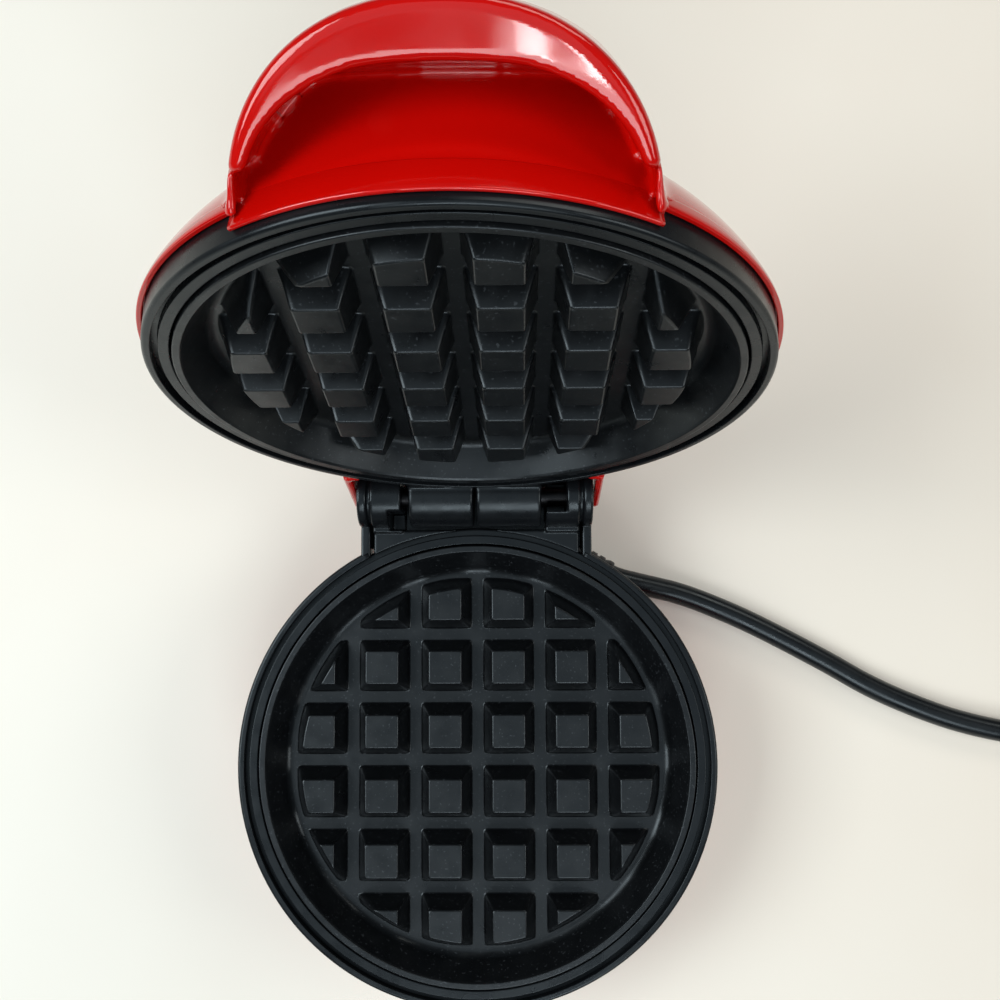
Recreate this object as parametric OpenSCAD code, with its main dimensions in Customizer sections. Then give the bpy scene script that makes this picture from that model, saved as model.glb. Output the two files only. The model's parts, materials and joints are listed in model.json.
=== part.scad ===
// Small round waffle maker, drawn with its lid open.
// Frame: X to the right, Y to the back, Z up, origin on the standing surface under the middle of the object.

/* [Overall] */
// Y of the middle of the cooking plates
plate_y = -34.1; // [-40:0.1:-30]
// Height of the plane between the two halves above the standing surface
parting_z = 35; // [32:0.5:42]
// Angle that the lid is open by
open_angle = 105; // [0:1:105]

/* [Cooking plates] */
// Distance between neighbouring pegs
peg_pitch = 16.5; // [15.8:0.1:17]
// Width of a peg at its top
peg_top_w = 8.6; // [8:0.1:9.2]
// Width of a peg at its foot
peg_foot_w = 13.2; // [12.4:0.1:13.8]
// Distance from the parting plane to the peg tops
peg_gap = 1.5; // [1.2:0.1:2]
// Distance from the parting plane to the plate floor
floor_depth = 9; // [8:0.5:10]
// Radius of the flat plate floor
floor_r = 50.4; // [50:0.1:51]
// Radius that trims the outer pegs at their tops
peg_trim_r = 45.5; // [44.5:0.1:46]
// Radius of the rim's inner edge
rim_in_r = 54.5; // [54:0.1:55]
// Radius of the rim's outer edge
rim_out_r = 56.4; // [56:0.1:56.5]
// Thickness of the plate floor
plate_t = 2.5; // [2:0.1:3]

/* [Bezel rings] */
// Outer radius of both bezel rings
ring_r = 62; // [61.5:0.1:62.2]
// Distance from the parting plane to the ring faces
ring_gap = 0.8; // [0.6:0.1:1.2]
// Distance from the parting plane to the back of the ring band
ring_back = 7; // [6.5:0.1:7.2]

/* [Lid housing] */
// Largest radius of the lid dome
dome_r = 63.25; // [63:0.05:64]
// Height of the widest part of the dome above the parting plane
dome_low_z = 6.4; // [6:0.1:7]
// Height of the dome top above the parting plane
dome_top_z = 36.4; // [34:0.2:38]
// Wall thickness of the housings
wall = 2.2; // [1.8:0.1:2.6]

/* [Handle] */
// Half of the handle's width
hood_half_w = 34.6; // [33:0.1:35]
// Length of the handle's front opening plane
hood_len = 31.8; // [30:0.1:33]
// Tilt of the handle's front plane from horizontal
hood_tilt = 42; // [38:1:48]
// Half of the finger pocket's width
pocket_half_w = 31.2; // [29:0.1:32]
// Length of the finger pocket along the front plane
pocket_len = 22.4; // [20:0.1:24]

/* [Base housing] */
// Radius of the base housing at its top edge
base_r = 61.6; // [61:0.1:61.8]
// Radius of the base housing at its bottom edge
base_low_r = 44; // [43:0.1:46]
// Half of the rear tower's width
tower_half_w = 16; // [15:0.5:17]

/* [Hinge] */
// Distance of the hinge axis behind the plate centre
hinge_y = 68.9; // [68.5:0.1:69.5]
// Height of the hinge axis above the parting plane
hinge_z = 1; // [0.8:0.1:1.2]
// Radius of the hinge barrels
barrel_r = 7.8; // [7.5:0.1:7.8]
// Radius of the hinge pins
pin_r = 2.5; // [2.2:0.1:2.8]
// Half of the hinge block's width
block_half_w = 30.4; // [30:0.1:30.5]

/* [Cord] */
// Diameter of the power cord
cord_d = 6.2; // [6:0.1:6.4]
// Radius of the coil at the middle of its turns
coil_r = 34; // [32:0.5:36]

/* [Hidden] */
$fn = 72;

red = [0.75, 0.03, 0.03];
black = [0.05, 0.05, 0.055];
coated = [0.11, 0.11, 0.12];
steel = [0.7, 0.7, 0.72];
cream = [0.87, 0.84, 0.76];
amber = [0.9, 0.5, 0.3, 0.8];
fit = 0.05;            // radial clearance of a pin in its bore
gap = 0.3;             // clearance between pieces that move past each other
peg_steps = 3;         // channels on each side of the middle one
screw_r = 1.45;
screw_head_r = 2.8;
screw_head_h = 1.8;

foot_h = 2;

// Depths below the parting plane, positive downwards
plate_under = floor_depth + plate_t;
ledge_top = plate_under + 0.1;
ledge_bottom = ledge_top + 1.8;
base_top = ring_back + 0.2;
base_bottom = parting_z - foot_h;
cover_r = base_low_r - 3.9;
feet_circle = base_low_r - 10;
boss_circle = base_low_r - 9;
cover_t = 2.3;
cover_recess = 0.9;
cover_screw_l = 8;
peg_r = 1.95;

// Screws that join plate and ring, and ring and housing
plate_screw_circle = 49.2;
plate_screw_turn = 30;
plate_screw_l = 5.9;
ring_screw_circle = 51.5;
ring_screw_turn = 0;
ring_screw_l = 7.6;
ring_boss_r = 3.4;
ring_boss_back = 16.5;
post_r = 4.4;
post_floor = 2.2;
sheet_t = 0.7;
lead_way_y = 64;

// Hinge: half width, back edge and inner radius of the flat step in front of the barrels
step_half_w = 26;
step_y = 60.4;
step_r = 60.3;
barrel_ends = [0.5, 17];
pin_ends = [9, 28.8];

// ---- Placing ----

// Puts something drawn around the plate centre on the parting plane in its place
module on_base() {
    translate([0, plate_y, parting_z]) children();
}

// Puts a lid piece, drawn with the lid closed, in its place with the lid open
module on_lid() {
    translate([0, plate_y + hinge_y, parting_z + hinge_z])
        rotate([-open_angle, 0, 0])
            translate([0, -hinge_y, -hinge_z])
                children();
}

// Turns a piece drawn for the base over, so that it serves the lid
module turned_over() {
    mirror([0, 0, 1]) children();
}

// Copies children at count angles on a circle
module on_circle(radius, count, first = 0) {
    for (i = [0 : count - 1])
        rotate(first + 360 * i / count)
            translate([radius, 0, 0])
                children();
}

// A cylinder along X between two places on the hinge axis
module on_axis(from_x, to_x, radius) {
    translate([from_x, hinge_y, hinge_z])
        rotate([0, 90, 0])
            cylinder(r = radius, h = to_x - from_x);
}

// A box given by its lowest and highest corners
module block(low, high) {
    translate(low) cube(high - low);
}

// A screw with its head's top at the origin and its shank downwards
module screw(length) {
    difference() {
        union() {
            translate([0, 0, -screw_head_h]) cylinder(r = screw_head_r, h = screw_head_h);
            translate([0, 0, -length]) cylinder(r = screw_r, h = length - screw_head_h + 0.1);
        }
        block([-2, -0.4, -0.9], [2, 0.4, 1]);
        block([-0.4, -2, -0.9], [0.4, 2, 1]);
    }
}

// Points of a superellipse from one end of its width to the other
function arch(half_w, height, power, steps = 40) = [
    for (i = [0 : steps])
        let (a = 180 * i / steps)
        [half_w * sign(cos(a)) * pow(abs(cos(a)), 2 / power), height * pow(sin(a), 2 / power)]
];

// ---- Cooking plates ----

// Channel between two rows of pegs, wider at its top
module channel(across) {
    foot = (peg_pitch - peg_foot_w) / 2;
    top = (peg_pitch - peg_top_w) / 2;
    slope = (top - foot) / (floor_depth - peg_gap);
    over = 1;
    rotate(across ? 90 : 0)
        translate([0, 60, 0])
            rotate([90, 0, 0])
                linear_extrude(120)
                    polygon([
                        [-foot, -floor_depth], [foot, -floor_depth],
                        [top + slope * over, over - peg_gap], [-top - slope * over, over - peg_gap]
                    ]);
}

module pegs() {
    draft = 2.8;
    sink = 0.5;
    height = floor_depth - peg_gap;
    difference() {
        union() {
            translate([0, 0, -floor_depth]) cylinder(r1 = peg_trim_r + draft, r2 = peg_trim_r, h = height);
            translate([0, 0, -floor_depth - sink]) cylinder(r = peg_trim_r + draft, h = sink);
        }
        for (i = [-peg_steps : peg_steps]) {
            translate([i * peg_pitch, 0, 0]) channel(false);
            translate([0, i * peg_pitch, 0]) channel(true);
        }
    }
}

module plate_body() {
    rim_z = 0.4;
    difference() {
        union() {
            rotate_extrude()
                polygon([
                    [0, -floor_depth], [floor_r, -floor_depth], [rim_in_r, -rim_z - 0.6],
                    [rim_in_r + 0.4, -rim_z], [rim_out_r, -rim_z], [rim_out_r, -rim_z - 3],
                    [floor_r + 2.8, -plate_under], [0, -plate_under]
                ]);
            pegs();
        }
        on_circle(plate_screw_circle, 3, plate_screw_turn)
            translate([0, 0, -plate_under - 1])
                cylinder(r = screw_r, h = 3);
    }
}

module lower_plate() {
    color(coated) on_base() plate_body();
}

module upper_plate() {
    color(coated) on_lid() turned_over() plate_body();
}

// ---- Bezel rings ----

// Half section of a ring: outer band with a groove in its face, and a ledge behind the plate
module ring_section() {
    face = -ring_gap;
    flange = face - 0.4;
    inner_r = rim_out_r + 0.4;
    groove_in_r = ring_r - 3;
    groove_out_r = ring_r - 1.7;
    groove_floor = face - 2.2;
    band_in_r = ring_r - 2;
    tube_out_r = groove_in_r - 0.2;
    ledge_in_r = 47;
    round_r = 0.8;
    polygon([
        [inner_r, flange], [groove_in_r, flange], [groove_in_r, groove_floor],
        [groove_out_r, groove_floor], [groove_out_r, face], [ring_r - round_r, face],
        for (a = [60 : -30 : 0]) [ring_r - round_r + round_r * cos(a), face - round_r + round_r * sin(a)],
        [ring_r, -ring_back], [band_in_r, -ring_back], [band_in_r, -ring_back + 2],
        [tube_out_r, -ring_back + 2], [tube_out_r, -ledge_bottom + 2.9], [tube_out_r - 1.6, -ledge_bottom],
        [ledge_in_r, -ledge_bottom],
        [ledge_in_r, -ledge_top], [inner_r, -ledge_top]
    ]);
}

module ring_body() {
    rotate_extrude() ring_section();
    on_circle(ring_screw_circle, 3, ring_screw_turn)
        translate([0, 0, -ring_boss_back])
            cylinder(r = ring_boss_r, h = ring_boss_back - ledge_top - 0.2);
}

// Holes for the screws that hold the plate
module plate_screw_holes() {
    on_circle(plate_screw_circle, 3, plate_screw_turn)
        translate([0, 0, -ledge_bottom - 1])
            cylinder(r = screw_r + fit, h = 4);
}

// Threaded holes that take the base's ring screws from below
module ring_threads() {
    on_circle(ring_screw_circle, 3, ring_screw_turn)
        translate([0, 0, -ring_boss_back - 1])
            cylinder(r = screw_r, h = ring_boss_back - ledge_top);
}

// Holes that let the lid's ring screws through, with room for their heads under the plate
module ring_screw_holes() {
    on_circle(ring_screw_circle, 3, ring_screw_turn) {
        translate([0, 0, -ring_boss_back - 1]) cylinder(r = screw_r + fit, h = ring_boss_back);
        translate([0, 0, -ledge_top - screw_head_h - 0.1]) cylinder(r = screw_head_r + fit, h = 4);
    }
}

// Ears, knuckles and cradle that carry the hinge on the base
module hinge_block() {
    ear_in = 26.6;
    ear_front = 53;
    cradle_front = 56;
    knuckle_front = 60;
    back = hinge_y + 4.1;
    deep = 14.5;
    step_top = -ring_gap - 0.2;
    below_barrels = hinge_z - barrel_r;
    left_end = -19;
    right_end = 18.2;
    notch = [-22.4, 65];
    recess = [23.6, 64.8];
    reach = ear_in + 0.1;
    high = hinge_z + 11;
    for (side = [-1, 1])
        mirror([side < 0 ? 1 : 0, 0, 0]) {
            on_axis(ear_in, block_half_w, barrel_r - 0.2);
            block([ear_in, ear_front, -deep], [block_half_w, hinge_y, step_top]);
            block([ear_in, hinge_y - 0.1, -deep], [block_half_w, back, hinge_z]);
        }
    // Cradle under the barrels, and step in front of them
    block([-reach, cradle_front, -deep], [reach, back, below_barrels - 1.2]);
    block([-reach, ear_front, -deep], [reach, step_y, step_top]);
    difference() {
        union() {
            on_axis(-reach, left_end, barrel_r);
            on_axis(right_end, reach, barrel_r);
            block([-reach, knuckle_front, -deep], [left_end, back - 0.1, hinge_z]);
            block([right_end, knuckle_front, -deep], [reach, back - 0.1, hinge_z]);
        }
        // Open notch in front of the left knuckle
        block([notch[0], step_y, below_barrels], [left_end + 1, notch[1], high]);
        // Open recess behind the right knuckle's step, where the pin shows
        block([right_end - 1.2, recess[1], below_barrels + 1], [recess[0], back + 7, high]);
    }
}

module base_bezel() {
    color(black) on_base() difference() {
        union() {
            difference() {
                ring_body();
                // Straight back edge in front of the barrels
                block([-step_half_w, step_y, -20], [step_half_w, 80, 5]);
            }
            difference() {
                hinge_block();
                translate([0, 0, -40]) cylinder(r = step_r, h = 60);
            }
        }
        plate_screw_holes();
        ring_threads();
        for (side = [-1, 1])
            mirror([side < 0 ? 1 : 0, 0, 0])
                on_axis(pin_ends[0] + 8.5, pin_ends[1] + 0.2, pin_r);
        // Way for the leads from the tower to the hinge
        translate([0, lead_way_y, -16]) cylinder(r = 2, h = 12);
    }
}

module lid_bezel() {
    color(black) on_lid() difference() {
        union() {
            turned_over() ring_body();
            for (side = [-1, 1])
                mirror([side < 0 ? 1 : 0, 0, 0]) {
                    on_axis(barrel_ends[0], barrel_ends[1], barrel_r);
                    difference() {
                        block([barrel_ends[0], 54, hinge_z], [barrel_ends[1], hinge_y, ring_back]);
                        translate([0, 0, -5]) cylinder(r = step_r - 0.1, h = 30);
                    }
                }
        }
        turned_over() {
            plate_screw_holes();
            ring_screw_holes();
        }
        for (side = [-1, 1])
            mirror([side < 0 ? 1 : 0, 0, 0]) {
                on_axis(pin_ends[0] - 1.5, barrel_ends[1] + 1, pin_r + fit);
                // Way for the leads along the axis
                on_axis(0, pin_ends[0] - 1, 2);
            }
    }
}

module hinge_pins() {
    color(steel) on_base()
        for (side = [-1, 1])
            mirror([side < 0 ? 1 : 0, 0, 0])
                on_axis(pin_ends[0], pin_ends[1], pin_r);
}

// ---- Base ----

// Outline of the base bowl, moved inwards by inset
function bowl(inset, top, bottom) = [
    for (i = [0 : 14])
        let (a = 80 * i / 14)
        [base_low_r - inset + (base_r - base_low_r) * (cos(a) - cos(80)) / (1 - cos(80)),
         -top - (bottom - top) * sin(a) / sin(80)]
];

module bowl_solid(inset, top, bottom) {
    rotate_extrude()
        polygon(concat([[0, -top]], bowl(inset, top, bottom), [[0, -bottom]]));
}

tower_top = 14.7;
tower_back = 68;

// Rear tower under the hinge
module tower(inset, top, bottom) {
    round_r = 6 - inset;
    half = tower_half_w - inset;
    back = tower_back - inset;
    front = 30;
    translate([0, 0, -bottom]) {
        block([-half, front, 0], [half, back - round_r, bottom - top]);
        block([-half + round_r, front, 0], [half - round_r, back, bottom - top]);
        for (side = [-1, 1])
            translate([side * (half - round_r), back - round_r, 0])
                cylinder(r = round_r, h = bottom - top);
    }
}

// A boss on the inside of the bowl that takes one cover screw
module cover_boss() {
    boss_h = 6;
    boss_r = 3.6;
    low = -base_bottom + cover_t + 0.1;
    difference() {
        union() {
            translate([boss_circle, 0, low]) cylinder(r = boss_r, h = boss_h);
            block([boss_circle + boss_r - 1, -1, low], [cover_r + 1, 1, low + boss_h]);
        }
        translate([boss_circle, 0, low - 1]) cylinder(r = screw_r, h = boss_h + 2);
    }
}

// Tubes in the bowl that the ring screws go up through
module ring_posts() {
    post_top = ring_boss_back + 0.1;
    intersection() {
        bowl_solid(0, base_top, base_bottom);
        on_circle(ring_screw_circle, 3, ring_screw_turn)
            translate([0, 0, -base_bottom])
                cylinder(r = post_r, h = base_bottom - post_top);
    }
}

module ring_post_holes() {
    post_top = ring_boss_back + 0.1;
    on_circle(ring_screw_circle, 3, ring_screw_turn) {
        translate([0, 0, -base_bottom]) cylinder(r = screw_r + fit, h = base_bottom);
        translate([0, 0, -base_bottom - 1])
            cylinder(r = screw_head_r + 0.2, h = base_bottom + 1 - post_top - post_floor);
    }
}

// Hollow of the bowl, above its floor
module bowl_hollow() {
    sink = 0.8;
    intersection() {
        bowl_solid(wall, base_top - 1, base_bottom - sink);
        translate([0, 0, -base_bottom + wall]) cylinder(r = base_r, h = base_bottom);
    }
}

module base_housing() {
    ledge_h = 1.6;
    lip = 2;
    seat_z = -base_bottom + cover_t + 0.1;
    mouth_r = cover_r + 0.1;
    color(red) on_base() difference() {
        union() {
            difference() {
                union() {
                    bowl_solid(0, base_top, base_bottom);
                    tower(0, tower_top, base_bottom);
                }
                bowl_hollow();
            }
            // Ledge that the cover rests against
            translate([0, 0, -base_bottom])
                cylinder(r = mouth_r + 1.6, h = base_bottom + seat_z + ledge_h);
            for (i = [0 : 2])
                rotate(90 + 120 * i) cover_boss();
            ring_posts();
            // Collar for the strain relief
            translate(relief_start) rotate([0, 90, relief_turn])
                translate([0, 0, -5.1])
                    cylinder(r = relief_r + 0.3, h = 5);
        }
        tower(wall, tower_top - 1, base_bottom - wall);
        // Mouth that the cover closes
        translate([0, 0, -base_bottom - 1]) cylinder(r = mouth_r, h = base_bottom + 1 + seat_z);
        difference() {
            translate([0, 0, -base_bottom - 1]) cylinder(r = mouth_r - lip, h = 8);
            for (i = [0 : 2])
                rotate(90 + 120 * i) cover_boss();
        }
        ring_post_holes();
        // Notch that the hinge block fills
        block([-block_half_w - 0.2, 50, -tower_top], [block_half_w + 0.2, 80, 0]);
        // Hole for the strain relief
        translate(relief_start) rotate([0, 90, relief_turn])
            translate([0, 0, -8])
                cylinder(r = relief_neck_r + 0.1, h = 10);
    }
}

module bottom_cover() {
    vent_half_l = 12;
    vent_half_w = 1;
    vent_pitch = 6;
    color(black) on_base() difference() {
        translate([0, 0, -base_bottom]) cylinder(r = cover_r, h = cover_t);
        translate([0, 0, -base_bottom - 1]) {
            on_circle(boss_circle, 3, 90) {
                cylinder(r = screw_r + fit, h = cover_t + 2);
                cylinder(r = screw_head_r + fit, h = 1 + cover_recess);
            }
            for (row = [-2 : 2])
                translate([0, row * vent_pitch, 0])
                    block([-vent_half_l, -vent_half_w, 0], [vent_half_l, vent_half_w, cover_t + 2]);
            on_circle(feet_circle, 4, 45) cylinder(r = peg_r + fit, h = cover_t + 2);
        }
    }
}

module feet() {
    foot_r = 5.2;
    pad_half_l = 9;
    pad_r = 3;
    color(black) on_base() {
        on_circle(feet_circle, 4, 45) {
            translate([0, 0, -parting_z]) cylinder(r1 = foot_r, r2 = foot_r + 0.8, h = foot_h);
            translate([0, 0, -base_bottom - 0.1]) cylinder(r = peg_r, h = 2);
        }
        // Pad under the tower
        translate([0, tower_back - 5, -parting_z]) {
            block([-pad_half_l, -pad_r, 0], [pad_half_l, pad_r, foot_h]);
            for (side = [-1, 1])
                translate([side * pad_half_l, 0, 0]) cylinder(r = pad_r, h = foot_h);
        }
    }
}

// ---- Inside the halves ----

heater_r = 35;
heater_d = 6.4;
heater_z = plate_under + heater_d / 2 + 0.15;
heater_gap = 40;
lead_across = [0.87, -0.5, 0];

module heater_body() {
    end_angle = 90 + heater_gap / 2;
    translate([0, 0, -heater_z])
        rotate(end_angle)
            rotate_extrude(angle = 360 - heater_gap)
                translate([heater_r, 0]) circle(d = heater_d);
    // Cold ends that stand away from the plate
    for (a = [90 - heater_gap / 2, 90 + heater_gap / 2])
        rotate(a) translate([heater_r, 0, -heater_z]) {
            translate([0, 0, -6]) cylinder(d = heater_d + 0.8, h = 9);
            translate([0, 0, -9]) cylinder(d = 2.4, h = 4);
        }
}

module lower_heater() {
    color(steel) on_base() heater_body();
}

module upper_heater() {
    color(steel) on_lid() turned_over() heater_body();
}

module reflector_body() {
    top = ledge_bottom + 0.1;
    deep = top + 6.2;
    flange_r = 51.4;
    hub_r = 15;
    dish_r = 43;
    difference() {
        rotate_extrude()
            polygon([
                [hub_r, -deep], [dish_r, -deep], [dish_r + 3, -top - sheet_t], [flange_r, -top - sheet_t],
                [flange_r, -top], [dish_r + 2.5, -top],
                [dish_r - 0.4, -deep + sheet_t], [hub_r, -deep + sheet_t]
            ]);
        for (a = [90 - heater_gap / 2, 90 + heater_gap / 2])
            rotate(a) translate([heater_r, 0, -deep - 1]) cylinder(d = heater_d + 2, h = 3);
        on_circle(plate_screw_circle, 3, plate_screw_turn)
            translate([0, 0, -top - 2])
                cylinder(r = screw_r + fit, h = 4);
        on_circle(ring_screw_circle, 3, ring_screw_turn)
            translate([0, 0, -top - 2])
                cylinder(r = post_r + 0.6, h = 4);
    }
}

module lower_reflector() {
    color(steel) on_base() reflector_body();
}

module upper_reflector() {
    color(steel) on_lid() turned_over() reflector_body();
}

thermostat_r = 8;
thermostat_h = 5.7;
strap_t = 0.9;

module thermostat() {
    neck_r = 6;
    neck_h = 4.3;
    tab_x = 4;
    low = -plate_under - thermostat_h - 0.1;
    color(black) on_base() {
        translate([0, 0, low]) cylinder(r = thermostat_r, h = thermostat_h);
        translate([0, 0, low - neck_h + 0.1]) cylinder(r = neck_r, h = neck_h);
        for (side = [-1, 1])
            translate([side * tab_x, 0, low - neck_h])
                block([-0.4, -3, -5], [0.4, 3, 1]);
    }
}

// Sheet strap that presses the thermostat against the plate
module thermostat_strap() {
    in_x = thermostat_r + 0.2;
    out_x = in_x + strap_t;
    foot_x = 20;
    half_w = 4;
    deep = thermostat_h + 0.2;
    color(steel) on_base() translate([0, 0, -plate_under - 0.1]) difference() {
        union() {
            for (side = [-1, 1])
                mirror([side < 0 ? 1 : 0, 0, 0]) {
                    block([in_x, -half_w, -strap_t], [foot_x, half_w, 0]);
                    block([in_x, -half_w, -deep - strap_t], [out_x, half_w, 0]);
                }
            block([-out_x, -2 * half_w, -deep - strap_t], [out_x, 2 * half_w, -deep]);
        }
        translate([0, 0, -deep - 2]) cylinder(r = 6.2, h = 4);
    }
}

module thermal_fuse() {
    body_l = 14;
    body_d = 4.2;
    lead_l = 6;
    color(cream) on_base() translate([-6, 24, -26]) rotate([0, 90, 0]) {
        cylinder(d = body_d, h = body_l);
        translate([0, 0, -lead_l]) cylinder(d = body_d / 3, h = body_l + 2 * lead_l);
    }
}

module terminal_block() {
    low = [-29, 5, -30.4];
    high = [-15, 23, -21.5];
    middle_x = (low[0] + high[0]) / 2;
    way_z = -26.5;
    color(cream) on_base() difference() {
        block(low, high);
        for (y = terminal_y) {
            translate([middle_x, y, way_z + 2]) cylinder(d = 4, h = 5);
            translate([low[0] - 1, y, way_z]) rotate([0, 90, 0]) cylinder(d = 3, h = high[0] - low[0] + 2);
        }
    }
}

// Places where the heater's pins end, and where its leads start
pin_x = heater_r * sin(heater_gap / 2);
pin_y = heater_r * cos(heater_gap / 2);
pin_z = heater_z + 9;
lead_d = 2.2;
terminal_y = [9.5, 18.5];

module base_leads() {
    color(cream) on_base() {
        cord_tube([[-pin_x, pin_y, -pin_z], [-pin_x, pin_y, -pin_z - 2], [-14, 29, -27.8], [-13.6, 24, -28.6],
                   [-13, 20, -27.6], [-14.9, 18.5, -26.5]], lead_d, 8, lead_across);
        cord_tube([[pin_x, pin_y, -pin_z], [pin_x, pin_y, -pin_z - 2], [16, 30, -27], [18, 26, -26.3],
                   [16.5, 24, -26], [14, 24, -26]], lead_d, 8, lead_across);
        cord_tube([[-12, 24, -26], [-14, 23.6, -25.4], [-14, 19, -23.6], [-12, 14, -24.2], [-12, 10.5, -26],
                   [-14.9, 9.5, -26.5]], lead_d, 8, lead_across);
        // Cores of the cord, from the strain relief through the grip to the terminals
        cord_tube([[12.4, 61, -28.9], [8.8, 61.4, -29.1], [6.6, 60.2, -28.8], [5.6, 57.5, -27.9],
                   [5.6, 50.6, -27.5], [4.4, 48.4, -27.5], [1.6, 47.5, -27.5], [-3, 47.2, -27.5],
                   [-12, 45.5, -27.5], [-22, 38.7, -27.5], [-33, 30, -27.5], [-37.5, 22, -27.5],
                   [-37, 14, -27], [-33, 9.9, -26.5], [-29.1, 9.5, -26.5]], lead_d, 8);
        cord_tube([[12.4, 61, -26.1], [10.6, 61.4, -26.2], [9, 60.2, -26.6], [8.4, 57.5, -27.3],
                   [8.4, 49, -27.5], [7.2, 46.3, -27.5], [4.4, 44.9, -27.5], [0, 44.6, -27.5],
                   [-11, 42.6, -27.5], [-20, 36, -27.5], [-30, 27.5, -27.5], [-33.4, 22, -27],
                   [-32, 18.8, -26.5], [-29.1, 18.5, -26.5]], lead_d, 8);
        cord_tube([[6, 49, -21.5], [4, 54, -19.5], [1, 60, -18.5], [0, 63, -17], [0, lead_way_y, -15],
                   [0, lead_way_y, -8.5]], 2.6, 8, lead_across);
    }
}

module lid_leads() {
    color(cream) on_lid() {
        for (side = [-1, 1])
            cord_tube([[side * pin_x, pin_y, pin_z], [side * pin_x, pin_y, pin_z + 1.6],
                       [side * 8, 38, 26], [side * 4.5, 44, 23.5], [side * 3.5, 49, 19.5],
                       [side * 3.5, 53, 16], [side * 3.5, 53, ledge_bottom + 0.1]], lead_d, 8, lead_across);
        cord_tube([[0, 47.6, 17], [0, 44, 21], [0, 36, 26], [0, 20, 27.5], [0, 0, 27.5], [0, -22, 27],
                   [0, -31, 24], [0, -35, 22]], 2, 8, lead_across);
    }
}

module cover_screws() {
    color(steel) on_base() on_circle(boss_circle, 3, 90)
        translate([0, 0, -base_bottom + cover_recess - screw_head_h - 0.05])
            rotate([180, 0, 0])
                screw(cover_screw_l);
}

module base_bezel_screws() {
    seat = ring_boss_back + 0.2 + post_floor;
    color(steel) on_base() on_circle(ring_screw_circle, 3, ring_screw_turn)
        translate([0, 0, -seat - screw_head_h]) rotate([180, 0, 0]) screw(ring_screw_l);
}

module lid_bezel_screws() {
    color(steel) on_lid() on_circle(ring_screw_circle, 3, -ring_screw_turn)
        translate([0, 0, ledge_top]) rotate([180, 0, 0]) screw(ring_screw_l);
}

module plate_screws() {
    on_circle(plate_screw_circle, 3, plate_screw_turn)
        translate([0, 0, -ledge_bottom - sheet_t - screw_head_h - 0.2])
            rotate([180, 0, 0])
                screw(plate_screw_l);
}

module lower_plate_screws() {
    color(steel) on_base() plate_screws();
}

module upper_plate_screws() {
    color(steel) on_lid() turned_over() plate_screws();
}

// ---- Lid housing ----

// Outline of the dome, moved inwards by inset
function dome(inset) = [
    for (i = [0 : 22])
        let (a = 90 * i / 22)
        [(dome_r - inset) * pow(cos(a), 0.556),
         dome_low_z + (dome_top_z - inset - dome_low_z) * pow(sin(a), 1.667)]
];

module dome_solid(inset, foot) {
    rotate_extrude()
        polygon(concat([[0, foot], [dome_r - inset - 0.4, foot]], dome(inset)));
}

// Where the handle's tips end
hood_low_y = -52.8;
hood_low_z = 2.7;
lens_y = -38;
lens_r = 2.5;

// Front plane of the handle: X across, Y up along the tilted plane, Z into the lid
module hood_frame() {
    translate([0, hood_low_y, hood_low_z])
        rotate([180 - hood_tilt, 0, 0])
            mirror([0, 0, 1])
                children();
}

module hood_barrel(half_w, length, power, sink, deep) {
    hood_frame()
        translate([0, 0, -0.01])
            linear_extrude(deep)
                polygon(concat(arch(half_w, length, power), [[-half_w, -sink], [half_w, -sink]]));
}

// Space under the long curved top of handle and dome
module crown(inset) {
    crown_r = 150;
    translate([0, -15, dome_top_z - crown_r]) sphere(r = crown_r - inset, $fn = 240);
}

// Leaning round wall behind the fingers
module finger_wall(inset) {
    lean = 6 / 35;
    tall = 70;
    low = -5;
    translate([0, 0, low]) cylinder(r1 = 64.4 - inset, r2 = 64.4 - inset - lean * tall, h = tall);
}

module hood_outer(inset) {
    intersection() {
        hood_barrel(hood_half_w - inset, hood_len - inset, 2.35, 0, 46);
        crown(inset);
        block([-50, -90, hood_low_z], [50, 0, 50]);
    }
}

// Hollow that the fingers reach into
module finger_pocket() {
    intersection() {
        difference() {
            hood_barrel(pocket_half_w, pocket_len, 3, 8, 60);
            finger_wall(0);
        }
        // Sloping ceiling
        translate([-50, -69.2, 17.9])
            rotate([34, 0, 0])
                translate([0, -30, -60])
                    cube([100, 80, 60]);
    }
}

module rear_cover(half_w, top, back) {
    round_r = 6;
    translate([-half_w, 0, 0]) {
        block([0, 50, hinge_z - 0.2], [2 * half_w, back - round_r, top]);
        block([0, 50, hinge_z - 0.2], [2 * half_w, back, top - round_r]);
        translate([0, back - round_r, top - round_r]) rotate([0, 90, 0]) cylinder(r = round_r, h = 2 * half_w);
    }
}

// A post inside the lid that takes one ring screw
module lid_post() {
    low = ring_boss_back + 0.1;
    difference() {
        translate([ring_screw_circle, 0, low])
            cylinder(r = ring_boss_r, h = 18);
        translate([ring_screw_circle, 0, low - 1])
            cylinder(r = screw_r, h = 1 + ledge_top + ring_screw_l + 0.4 - low);
    }
}

module lid_posts() {
    intersection() {
        dome_solid(wall / 2, 4);
        for (a = [0, 120])
            rotate(a - ring_screw_turn) lid_post();
    }
    // The front post reaches up to the handle's roof
    intersection() {
        crown(wall / 2);
        rotate(240 - ring_screw_turn) lid_post();
    }
}

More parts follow.
